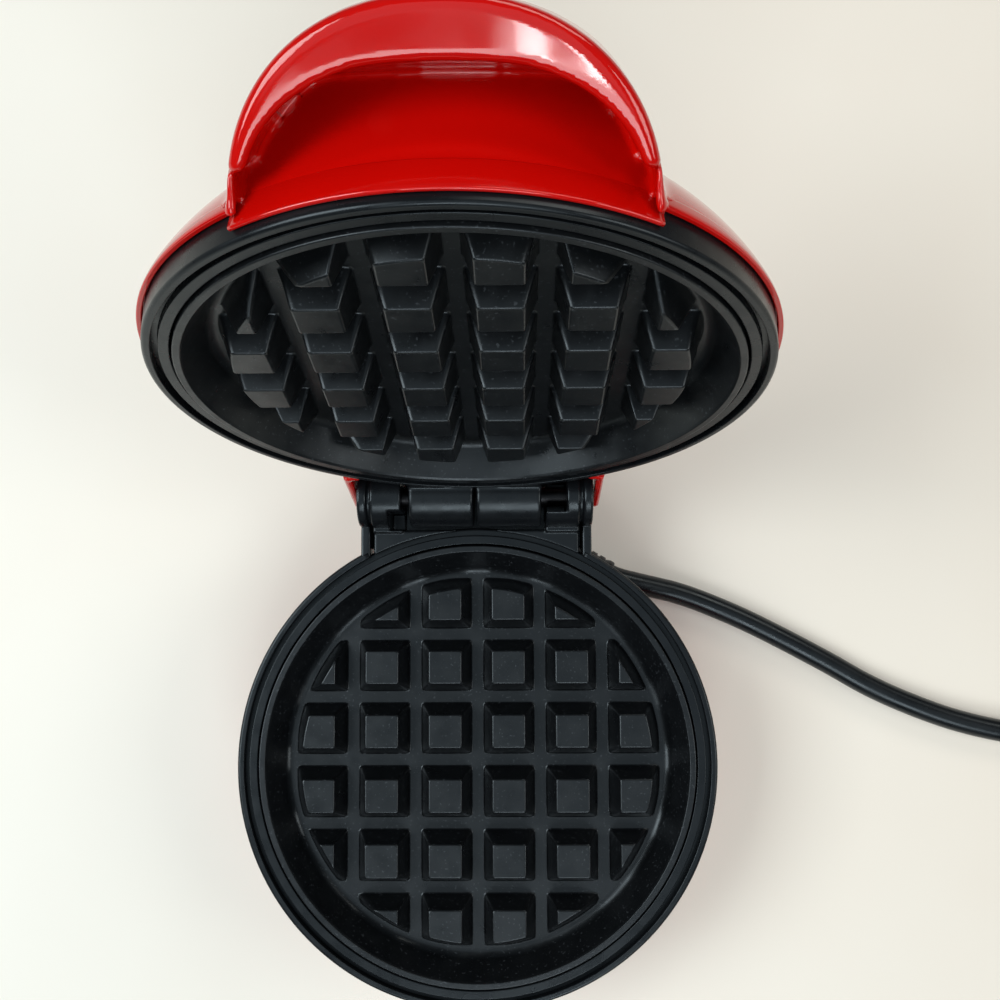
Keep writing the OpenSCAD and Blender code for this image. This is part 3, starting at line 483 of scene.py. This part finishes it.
class Shader:
    """A Principled material whose inputs are set or fed by nodes."""

    def __init__(self, name, colour, roughness, **settings):
        self.material = bpy.data.materials.new(name)
        self.material.use_nodes = True
        self.nodes = self.material.node_tree.nodes
        self.links = self.material.node_tree.links
        self.surface = self.nodes["Principled BSDF"]
        self.set("Base Color", (*colour, 1))
        self.set("Roughness", roughness)
        for key, value in settings.items():
            self.set(key.replace("_", " "), value)
        self.place = self.nodes.new("ShaderNodeTexCoord").outputs["Object"]
        self.height = None

    def set(self, socket, value):
        self.surface.inputs[socket].default_value = value

    def node(self, kind, inputs=(), **settings):
        made = self.nodes.new(kind)
        for key, value in settings.items():
            setattr(made, key, value)
        for key, value in dict(inputs).items():
            if hasattr(value, "is_output"):
                self.links.new(value, made.inputs[key])
            else:
                made.inputs[key].default_value = value
        return made

    def noise(self, size_mm, detail=2.0, roughness=0.5):
        return self.node(
            "ShaderNodeTexNoise",
            {"Vector": self.place, "Scale": 1000 / size_mm, "Detail": detail, "Roughness": roughness},
        ).outputs["Fac"]

    def remap(self, value, low, high, to_low, to_high):
        return self.node(
            "ShaderNodeMapRange",
            {"Value": value, "From Min": low, "From Max": high, "To Min": to_low, "To Max": to_high},
        ).outputs["Result"]

    def mix(self, share, one, two):
        made = self.node("ShaderNodeMix", data_type="RGBA")
        self.links.new(share, made.inputs["Factor"])
        made.inputs[6].default_value = (*one, 1)
        made.inputs[7].default_value = (*two, 1)
        return made.outputs[2]

    def math(self, kind, a, b):
        return self.node("ShaderNodeMath", {0: a, 1: b}, operation=kind).outputs[0]

    def feed(self, socket, output):
        self.links.new(output, self.surface.inputs[socket])

    def bump(self, value, depth_mm, strength=1.0):
        inputs = {"Height": value, "Distance": depth_mm * MM, "Strength": strength}
        if self.height is not None:
            inputs["Normal"] = self.height
        self.height = self.node("ShaderNodeBump", inputs).outputs["Normal"]
        self.feed("Normal", self.height)


def gloss_red():
    s = Shader("gloss_red", (0.52, 0.002, 0.001), 0.2, Coat_Weight=0.25, Coat_Roughness=0.03)
    s.set("Specular IOR Level", 0.38)
    s.feed("Base Color", s.mix(s.noise(38, 3), (0.43, 0.0014, 0.0005), (0.50, 0.0024, 0.001)))
    s.feed("Roughness", s.remap(s.noise(9, 4), 0.35, 0.75, 0.07, 0.14))
    s.bump(s.noise(7, 1), 0.02, 0.35)
    s.bump(s.noise(0.5, 2), 0.004, 0.25)
    return s.material


def coated_plate():
    s = Shader("nonstick_coating", (0.006, 0.0068, 0.0078), 0.3)
    s.set("Specular IOR Level", 0.4)
    s.set("Specular Tint", (0.8, 0.92, 1.0, 1))
    grain = s.noise(0.42, 3, 0.65)
    fleck = s.remap(s.noise(0.7, 1), 0.66, 0.74, 0, 1)
    s.feed("Base Color", s.mix(fleck, (0.0036, 0.0042, 0.005), (0.026, 0.03, 0.034)))
    s.feed("Roughness", s.remap(s.noise(5, 4), 0.3, 0.7, 0.26, 0.42))
    s.bump(grain, 0.012, 0.45)
    s.bump(s.noise(2.2, 2), 0.015, 0.2)
    return s.material


def satin_black():
    roughness = 0.27
    s = Shader("satin_black", (0.007, 0.0078, 0.009), roughness)
    s.set("Specular IOR Level", 0.32)
    s.set("Specular Tint", (0.78, 0.92, 1.0, 1))
    s.feed("Base Color", s.mix(s.noise(12, 4), (0.003, 0.0036, 0.0045), (0.005, 0.006, 0.0074)))
    s.feed("Roughness", s.remap(s.noise(6, 4), 0.3, 0.7, roughness - 0.06, roughness + 0.1))
    s.bump(s.noise(0.45, 3, 0.6), 0.01, 0.3)
    return s.material


def cord_jacket():
    s = Shader("cord_jacket", (0.003, 0.0036, 0.0045), 0.24)
    s.set("Specular IOR Level", 0.34)
    s.set("Specular Tint", (0.78, 0.92, 1.0, 1))
    s.feed("Roughness", s.remap(s.noise(8, 4), 0.3, 0.7, 0.2, 0.34))
    s.feed("Base Color", s.mix(s.noise(20, 3), (0.0028, 0.0034, 0.0042), (0.005, 0.006, 0.0074)))
    s.bump(s.noise(0.8, 2), 0.02, 0.25)
    return s.material


def soft_rubber():
    s = Shader("soft_rubber", (0.02, 0.02, 0.021), 0.7)
    s.feed("Base Color", s.mix(s.noise(3, 4), (0.014, 0.014, 0.015), (0.03, 0.03, 0.031)))
    s.bump(s.noise(0.6, 3), 0.04, 0.5)
    return s.material


def metal(name, colour, roughness, size_mm=1.2):
    s = Shader(name, colour, roughness, Metallic=1.0)
    worn = tuple(c * 0.72 for c in colour)
    s.feed("Base Color", s.mix(s.noise(4, 4), worn, colour))
    s.feed("Roughness", s.remap(s.noise(size_mm, 3), 0.3, 0.7, roughness - 0.08, roughness + 0.12))
    s.bump(s.noise(size_mm / 3, 3), 0.01, 0.4)
    return s.material


def matte(name, colour, roughness=0.6):
    s = Shader(name, colour, roughness)
    dark = tuple(c * 0.8 for c in colour)
    s.feed("Base Color", s.mix(s.noise(5, 4), dark, colour))
    s.bump(s.noise(0.7, 3), 0.03, 0.4)
    return s.material


def clear(name, colour, roughness=0.1):
    s = Shader(name, colour, roughness, Transmission_Weight=0.6)
    s.feed("Base Color", s.mix(s.noise(2, 2), tuple(c * 0.85 for c in colour), colour))
    s.bump(s.noise(1.5, 2), 0.01, 0.3)
    return s.material


def pale_floor():
    s = Shader("pale_floor", (0.70, 0.68, 0.63), 0.55)
    across = s.node("ShaderNodeSeparateXYZ", {"Vector": s.place}).outputs
    # Painted light falloff: the floor is mixed darker and warmer towards +X and +Y, where the light falls
    # off, with a faint random drift from the noise.
    painted_falloff = s.math("ADD", s.remap(across["X"], -0.15, 0.25, 0, 0.7), s.remap(across["Y"], -0.2, 0.25, 0, 0.3))
    painted_falloff = s.math("ADD", painted_falloff, s.remap(s.noise(120, 3), 0.3, 0.7, -0.12, 0.12))
    s.feed("Base Color", s.mix(painted_falloff, (0.66, 0.67, 0.62), (0.56, 0.51, 0.44)))
    # Painted light: a faint glow over the whole floor that lifts its shadows and throws a little light back
    # up onto the waffle maker.
    s.set("Emission Color", (1.0, 0.96, 0.9, 1))
    s.set("Emission Strength", 0.1)
    s.bump(s.noise(3, 3), 0.05, 0.15)
    return s.material


red = gloss_red()
coating = coated_plate()
black = satin_black()
jacket = cord_jacket()
rubber = soft_rubber()
zinc = metal("zinc_steel", (0.62, 0.62, 0.63), 0.34)
blackened = metal("blackened_steel", (0.02, 0.021, 0.023), 0.4)
heater_steel = metal("heater_steel", (0.40, 0.37, 0.34), 0.45)
bright_sheet = metal("bright_sheet", (0.82, 0.83, 0.85), 0.28)
blade_metal = metal("blade_metal", (0.78, 0.74, 0.62), 0.25)
ceramic = matte("ceramic", (0.80, 0.77, 0.68), 0.5)
sleeve = matte("woven_sleeve", (0.78, 0.76, 0.70), 0.8)
lens_plastic = clear("lens_plastic", (0.85, 0.32, 0.12))
lamp_glass = clear("lamp_glass", (0.9, 0.82, 0.75), 0.05)

# ---- Camera: its place is in millimetres around the plates' middle, as the shapes are ----

CAMERA_AT = Vector((11.12, 46.58, 285.12))
CAMERA_TURN = Euler([math.radians(a) for a in (4.338, 0.985, -0.286)], "XYZ")
camera = bpy.data.objects.new("camera", bpy.data.cameras.new("camera"))
camera.data.lens = 39.35
camera.data.sensor_width = 36
camera.data.clip_start = 0.01
camera.location = base_place @ CAMERA_AT
camera.rotation_euler = CAMERA_TURN
bpy.context.scene.collection.objects.link(camera)
bpy.context.scene.camera = camera

# ---- Power cord: heights are above the standing surface ----

RELIEF_AT = Vector((18.2, 58.4, 7.5))
RELIEF_TURN = math.radians(-27)
RELIEF_L, COLLAR_R = 21.0, 4.5
ROUTE = [
    (38, 48.2, 7.4), (43.5, 46.6, 6.5), (49.5, 45.2, 5.2), (56, 43.6, 4.0), (63.3, 41.1, 3.3),
    (74.6, 36.3, 3.1), (86, 30.6, 3.1), (99, 23.6, 3.1), (110, 17.3, 3.1), (121, 12.2, 3.1),
    (134, 7.4, 3.1), (148, 4, 3.1), (162, 2.3, 3.1), (176, 2, 3.1), (186, 2, 3.1),
]
TAIL = [(236, 39.2, 8.7), (236, 46, 9.2), (236, 52, 9.4), (236, 62, 8.5), (236, 72, 7), (236, 82, 6.3)]
COIL_AT = (202, 39.2)
COIL_R = 34.0
COIL_PITCH = 3.2
COIL_UP = 5.5

floor_place = Matrix.Translation((0, centre_y, 0)) @ Matrix.Scale(MM, 4)


def coil_turns():
    """The wound part: an outer turn, an inner turn, and a last stretch on top of both."""
    points = []
    for degrees in range(-90, 720, 10):
        if degrees < 180:
            radius, lift = COIL_R + COIL_PITCH, 0.0
        elif degrees < 500:
            radius, lift = COIL_R + COIL_PITCH - 2 * COIL_PITCH * ease((degrees - 180) / 90), 0.0
        else:
            radius = COIL_R - COIL_PITCH + COIL_PITCH * ease((degrees - 530) / 90)
            lift = COIL_UP * ease((degrees - 500) / 75)
        a = math.radians(degrees)
        points.append(
            (COIL_AT[0] + radius * math.cos(a), COIL_AT[1] + radius * math.sin(a), CORD_D / 2 + lift)
        )
    return points


def ease(t):
    t = min(max(t, 0.0), 1.0)
    return t * t * (3 - 2 * t)


relief_ahead = Vector((math.cos(RELIEF_TURN), math.sin(RELIEF_TURN), 0))
inside_relief = [tuple(RELIEF_AT + relief_ahead * d) for d in (0, 7, 14)]
cord_line = through(inside_relief + ROUTE + coil_turns() + TAIL, 5)
cord = piece(
    "power_cord_flex",
    sweep(cord_line, lambda i: round_section(CORD_D / 2)),
    floor_place, "base", jacket, ("power_cord", "cord_coil"),
)


def strain_relief():
    """A tapered sleeve with a collar at the wall and rings that let it flex."""
    def radius(at):
        return COLLAR_R - at / RELIEF_L * (COLLAR_R - CORD_D / 2 - 0.6)

    path, sizes = [-6, -0.02], [3.5, 3.5]
    for at, dip in [(0, 0.4), (0.3, 0), (2.2, 0), (2.5, 0.3)]:
        path.append(at)
        sizes.append(COLLAR_R - dip)
    rings, ring_l = 6, 2.6
    for i in range(rings):
        start = 3.2 + i * ring_l
        for at, dip in [(0, 0.5), (0.25, 0.0), (1.75, 0.0), (2.0, 0.5)]:
            path.append(start + at)
            sizes.append(radius(start + at) - dip)
    for at, size in [(RELIEF_L - 1.4, 3.8), (RELIEF_L - 0.3, 3.7), (RELIEF_L, 3.4)]:
        path.append(at)
        sizes.append(size)
    line = [tuple(RELIEF_AT + relief_ahead * d) for d in path]
    return sweep(line, lambda i: round_section(sizes[i], 40))


relief = piece(
    "strain_relief_sleeve", strain_relief(), floor_place, "base", jacket, ("strain_relief",)
)


def coil_tie():
    """A flat strap around the three strands of the coil."""
    strands = [(-COIL_PITCH, CORD_D / 2), (COIL_PITCH, CORD_D / 2), (0.0, CORD_D / 2 + COIL_UP)]
    thick, wide, steps = 0.7, 5.0, 72
    loop = []
    for k in range(steps):
        a = 2 * math.pi * k / steps
        n = (math.cos(a), math.sin(a))
        x, z = max(strands, key=lambda c: c[0] * n[0] + c[1] * n[1])
        reach = CORD_D / 2 + thick / 2
        loop.append((COIL_R + x + reach * n[0], 0.0, max(z + reach * n[1], thick / 2)))
    half, edge = wide / 2, 0.25
    flat = thick / 2
    section = [
        (-flat, -half + edge), (-flat + edge, -half), (flat - edge, -half), (flat, -half + edge),
        (flat, half - edge), (flat - edge, half), (-flat + edge, half), (-flat, half - edge),
    ]
    strap = sweep(loop, lambda i: section, across=(0, 1, 0), closed=True)
    return moved(strap, Matrix.Translation((*COIL_AT, 0)) @ Matrix.Rotation(math.radians(60), 4, "Z"))


tie = piece("coil_strap", coil_tie(), floor_place, "base", rubber, ("coil_tie",))

PLUG_AT = Vector(TAIL[-1])


def plug_field(p):
    body = box_field(p, (-10, 14.9, -6.2), (10, 36.9, 6.3), 5.0)
    waist = np.abs(np.abs(p[:, 0]) - 12.2) - 2.6 + 0.02 * (p[:, 1] - 24) ** 2
    body = smooth_max(body, -waist, 2.0)
    along = np.clip(p[:, 1] / 16, 0, 1)
    ring = 0.35 * np.cos(p[:, 1] * 2 * math.pi / 2.6) * (p[:, 1] < 14)
    neck = np.hypot(p[:, 0], p[:, 2]) - (3.9 + 1.5 * along + ring)
    neck = smooth_max(neck, np.maximum(-p[:, 1], p[:, 1] - 18), 0.8)
    return smooth_min(body, neck, 1.5)


plug = piece(
    "plug_moulding",
    surface_net(plug_field, (-12, -2, -8), (12, 39, 8), 0.5),
    floor_place @ Matrix.Translation(PLUG_AT), "base", jacket, ("plug_body",),
)

# ---- Lid and base housings ----

piece(
    "lid_shell",
    joined(surface_net(lid_field, (-66, -80, -3.6), (66, 80, 39), 0.72), thin_rim()),
    lid_place, "lid", red, ("lid_housing",),
)
piece(
    "base_shell",
    surface_net(base_field, (-64, -64, -35), (64, 71, -5), 0.8),
    base_place, "base", red, ("base_housing",),
)

# ---- Cooking plates ----


def peg_outline(x, y, seen, z, grow, rays=80, sharp=30):
    """A peg's rounded outline at a height, trimmed by the plate's edge circle. seen is a point inside it."""
    along = (PEG_Z - z) / (PEG_Z - DISH_Z)
    half = PEG_TOP + (PEG_FOOT - PEG_TOP) * along + grow
    trim = TRIM_TOP + (TRIM_FOOT - TRIM_TOP) * along + grow
    ox, oy = seen
    out = []
    for k in range(rays):
        a = 2 * math.pi * (k + 0.5) / rays
        c, s = math.cos(a), math.sin(a)
        wall_x = (x + math.copysign(half, c) - ox) / c
        wall_y = (y + math.copysign(half, s) - oy) / s
        ahead = ox * c + oy * s
        circle = -ahead + math.sqrt(max(ahead * ahead - ox * ox - oy * oy + trim * trim, 0.01))
        nearest = min(wall_x, wall_y, circle)
        reach = nearest * sum((nearest / w) ** sharp for w in (wall_x, wall_y, circle)) ** (-1 / sharp)
        out.append((ox + reach * c, oy + reach * s, z))
    return out


def inside_peg(x, y):
    """A point well inside what the edge circle leaves of a peg's top, or None, and the room around it."""
    steps = [PEG_TOP * k / 12 for k in range(-12, 13)]
    best, most = None, 0.45
    for i in steps:
        for j in steps:
            room = min(PEG_TOP - abs(i), PEG_TOP - abs(j), TRIM_TOP - math.hypot(x + i, y + j))
            if room > most:
                best, most = (x + i, y + j), room
    return best, most


def peg(x, y, seen, room):
    """One peg, with a fillet at its foot and a rounded edge around its top."""
    edge = min(0.38, room * 0.4)
    foot = DISH_Z - 0.03
    corners = [(0.85, foot - 0.3, 0), (0.85, foot, 0), (0, foot, 0.75), (0, PEG_Z, edge)]
    corners.append((-room * 0.8, PEG_Z, 0))
    levels = [q for q in rounded(corners) if q[0] > -room * 0.85]
    rings = [peg_outline(x, y, seen, z, grow) for grow, z in levels]
    n = len(rings[0])
    points = [p for ring in rings for p in ring]
    faces = []
    for i in range(len(rings) - 1):
        a, b = i * n, (i + 1) * n
        faces += [(a + k, a + (k + 1) % n, b + (k + 1) % n, b + k) for k in range(n)]
    faces += [tuple(reversed(range(n))), tuple(range((len(rings) - 1) * n, len(rings) * n))]
    return points, faces


def dish():
    """The plate's dish: floor, sloping wall and rim, closed underneath."""
    top = -RIM_DROP
    return revolve(rounded([
        (0.05, DISH_Z, 0.02), (DISH_R, DISH_Z, 2.4), (RIM_IN, top - 0.5, 0.25),
        (RIM_IN + 0.35, top, 0.25), (RIM_OUT, top, 0.35), (RIM_OUT, top - 3, 0.3),
        (DISH_R + 2.8, PLATE_BACK, 0.3), (0.05, PLATE_BACK, 0.02),
    ]), 256)


def plate_mesh():
    pegs = []
    for x in PEG_PLACES:
        for y in PEG_PLACES:
            seen, room = inside_peg(x, y)
            if seen:
                pegs.append(peg(x, y, seen, room))
    return joined(dish(), *pegs)


# ---- Rings ----


def ring_corners(outer):
    """Half section of a ring: its grooved face inside, or its outer lip and band."""
    face, flange = RING_Z, RING_Z - 0.4
    groove_in, groove_out, low = RING_R - 3, RING_R - 1.7, RING_Z - 2.2
    if outer:
        return [
            (groove_out, low, 0), (groove_out, face, 0.2), (RING_R, face, 0.75), (RING_R, -7, 0.3),
            (RING_R - 2, -7, 0.2), (RING_R - 2, low - 0.6, 0),
        ]
    return [
        (RIM_OUT + 0.4, -11.6, 0.3), (RIM_OUT + 0.4, flange, 0.3), (groove_in, flange, 0.22),
        (groove_in, low, 0.2), (groove_out, low, 0.2), (groove_out + 0.3, low, 0),
        (RING_R - 1, low - 0.4, 0), (RING_R - 2, -5, 0.2), (58.8, -5, 0.2), (58.8, -10.5, 0.2),
        (57.2, -13.4, 0.3), (47, -13.4, 0.3), (47, -11.6, 0.3),
    ]


def ring_mesh(rear_gap):
    """The whole grooved ring, with its outer lip left out over an angle at the back."""
    half = rear_gap / 2
    lip = revolve(rounded(ring_corners(True)), 256, turn=(90 + half, 450 - half))
    return joined(revolve(rounded(ring_corners(False)), 256), lip)


def rod_field(p, from_x, to_x, radius, k=0.5):
    out = np.hypot(p[:, 1] - HINGE_Y, p[:, 2] - HINGE_Z) - radius
    return smooth_max(out, np.maximum(from_x - p[:, 0], p[:, 0] - to_x), k)


def hinge_block_field(p):
    """Ears, step, knuckles and cradle that carry the hinge on the base."""
    deep, back = BLOCK_LOW, HINGE_Y + 4.1
    mirrored = np.stack([np.abs(p[:, 0]), p[:, 1], p[:, 2]], 1)
    ears = np.minimum(
        rod_field(mirrored, EAR_IN, EAR_OUT, BARREL_R - 0.2, 0.7),
        box_field(mirrored, (EAR_IN, BLOCK_FRONT, deep), (EAR_OUT, HINGE_Y, RING_Z - 0.1), 0.5),
    )
    ears = np.minimum(ears, box_field(mirrored, (EAR_IN, HINGE_Y - 0.5, deep), (EAR_OUT, back, HINGE_Z), 0.5))
    step = box_field(p, (-KNUCKLE_OUT, BLOCK_FRONT, deep), (KNUCKLE_OUT, STEP_Y, RING_Z - 0.1), 0.5)
    cradle = box_field(p, (-EAR_IN - 0.3, 56, deep), (EAR_IN + 0.3, back, HINGE_Z - BARREL_R - 1.2), 0.4)
    left = np.minimum(
        rod_field(p, -KNUCKLE_OUT, -LEFT_KNUCKLE_IN, BARREL_R),
        box_field(
            p, (-KNUCKLE_OUT, STEP_Y - 0.6, deep), (-LEFT_KNUCKLE_IN, back - 0.1, HINGE_Z), 0.4
        ),
    )
    right = np.minimum(
        rod_field(p, RIGHT_KNUCKLE_IN, KNUCKLE_OUT, BARREL_R),
        box_field(
            p, (RIGHT_KNUCKLE_IN, STEP_Y - 0.6, deep), (KNUCKLE_OUT, back - 0.1, HINGE_Z), 0.4
        ),
    )
    # Recesses that show the pins: one at the left and one at the right
    left = smooth_max(left, -box_field(p, (-22.4, STEP_Y, -6.8), (-17, 65, 14), 0.3), 0.4)
    right = smooth_max(right, -box_field(p, (16, 64.8, -5.8), (23.6, 82, 14), 0.3), 0.4)
    block = smooth_min(np.minimum(ears, step), np.minimum(left, right), 0.5)
    inner_disc = rod_field(mirrored, KNUCKLE_OUT - 0.5, EAR_IN + 0.5, BARREL_R - 1.2)
    recess_back = box_field(mirrored, (17.6, HINGE_Y + 4, deep), (23.8, HINGE_Y + 5.6, HINGE_Z + 1.5), 0.4)
    block = np.minimum(np.minimum(block, recess_back), np.minimum(cradle, inner_disc))
    return smooth_max(block, RING_R - 1.65 - np.hypot(p[:, 0], p[:, 1]), 0.25)


def lid_arm_field(p):
    """Hinge barrels with the arms that join them to the lid's ring."""
    mirrored = np.stack([np.abs(p[:, 0]), p[:, 1], p[:, 2]], 1)
    arm = box_field(mirrored, (ARM_IN, 58, HINGE_Z), (ARM_OUT, HINGE_Y, 7), 0.6)
    barrel = rod_field(mirrored, ARM_IN, ARM_OUT, BARREL_R, 0.9)
    body = smooth_min(arm, barrel, 1.0)
    body = smooth_max(body, 60.9 - np.hypot(p[:, 0], p[:, 1]), 0.3)
    bore = np.hypot(p[:, 1] - HINGE_Y, p[:, 2] - HINGE_Z) - PIN_BORE_R
    return smooth_max(body, -np.maximum(bore, PIN_BORE_IN - mirrored[:, 0]), 0.3)


pegs_and_dish = plate_mesh()
base_ring = joined(ring_mesh(55), surface_net(hinge_block_field, (-31.5, 51, -15.5), (31.5, 78, 10), 0.36))
lid_ring = joined(
    moved(ring_mesh(0), turned_over), surface_net(lid_arm_field, (-17.8, 56, -8), (17.8, 78, 10), 0.36)
)
piece("lower_plate_casting", pegs_and_dish, base_place, "base", coating, ("lower_plate",))
piece(
    "upper_plate_casting", pegs_and_dish, lid_place @ turned_over,
    "lid", coating, ("upper_plate",),
)

piece("base_ring", base_ring, base_place, "base", black, ("base_bezel",))
piece("lid_ring", lid_ring, lid_place, "lid", black, ("lid_bezel",))

# ---- CAD nodes that keep their shape ----

NODE_LOOKS = {
    "bottom_cover": black, "feet": rubber, "lower_heater": heater_steel,
    "upper_heater": heater_steel, "lower_reflector": bright_sheet, "upper_reflector": bright_sheet,
    "thermostat": black, "thermostat_strap": zinc, "thermal_fuse": ceramic, "terminal_block": ceramic,
    "base_leads": sleeve, "lid_leads": sleeve, "cover_screws": zinc, "base_bezel_screws": zinc,
    "lower_plate_screws": zinc, "lid_bezel_screws": zinc, "upper_plate_screws": zinc, "hinge_pins": blackened,
    "cord_grip": black, "plug_blades": blade_metal,
    "indicator_lens": lens_plastic, "indicator_lamp": lamp_glass,
}
for name, look in NODE_LOOKS.items():
    data = frame["nodes"][name].data
    data.materials.clear()
    data.materials.append(look)

# ---- Floor and light ----

floor_data = bpy.data.meshes.new("floor")
HALF_FLOOR = 3.0
floor_corners = [(x * HALF_FLOOR, y * HALF_FLOOR, 0) for x, y in ((-1, -1), (1, -1), (1, 1), (-1, 1))]
floor_data.from_pydata(floor_corners, [], [(0, 1, 2, 3)])
floor_data.materials.append(pale_floor())
floor = bpy.data.objects.new("floor", floor_data)
bpy.context.scene.collection.objects.link(floor)


def area_light(name, at, size, power, colour, target=(0, 0, 0.06)):
    data = bpy.data.lights.new(name, "AREA")
    data.shape = "RECTANGLE"
    data.size, data.size_y = size
    data.energy = power
    data.color = colour
    light = bpy.data.objects.new(name, data)
    light.location = at
    light.rotation_euler = (Vector(target) - Vector(at)).to_track_quat("-Z", "Y").to_euler()
    bpy.context.scene.collection.objects.link(light)


world = bpy.data.worlds.new("studio")
world.use_nodes = True
world.node_tree.nodes["Background"].inputs["Color"].default_value = (0.88, 0.95, 1.0, 1)
world.node_tree.nodes["Background"].inputs["Strength"].default_value = 0.1
bpy.context.scene.world = world
area_light("ceiling", (0.0, -0.25, 1.6), (1.5, 1.3), 3.4, (0.86, 0.95, 1.0))
area_light("key", (-1.0, 0.1, 1.2), (0.9, 0.8), 19, (0.97, 1.0, 1.0))
area_light("front", (0.1, -1.05, 1.15), (0.9, 0.5), 9, (0.96, 0.99, 1.0))
area_light("right_fill", (0.95, -0.1, 0.8), (0.5, 0.5), 4, (1.0, 0.97, 0.93))
area_light("back_warm", (0.5, 0.95, 0.8), (0.8, 0.4), 4, (1.0, 0.93, 0.84))
for name, x in (("left_pane", 0.03), ("right_pane", 0.11)):
    area_light(name, (x, -0.66, 1.10), (0.035, 0.09), 0.3, (1.0, 1.0, 1.0), (0.02, 0.08, 0.16))

bpy.context.scene.view_settings.view_transform = "Standard"
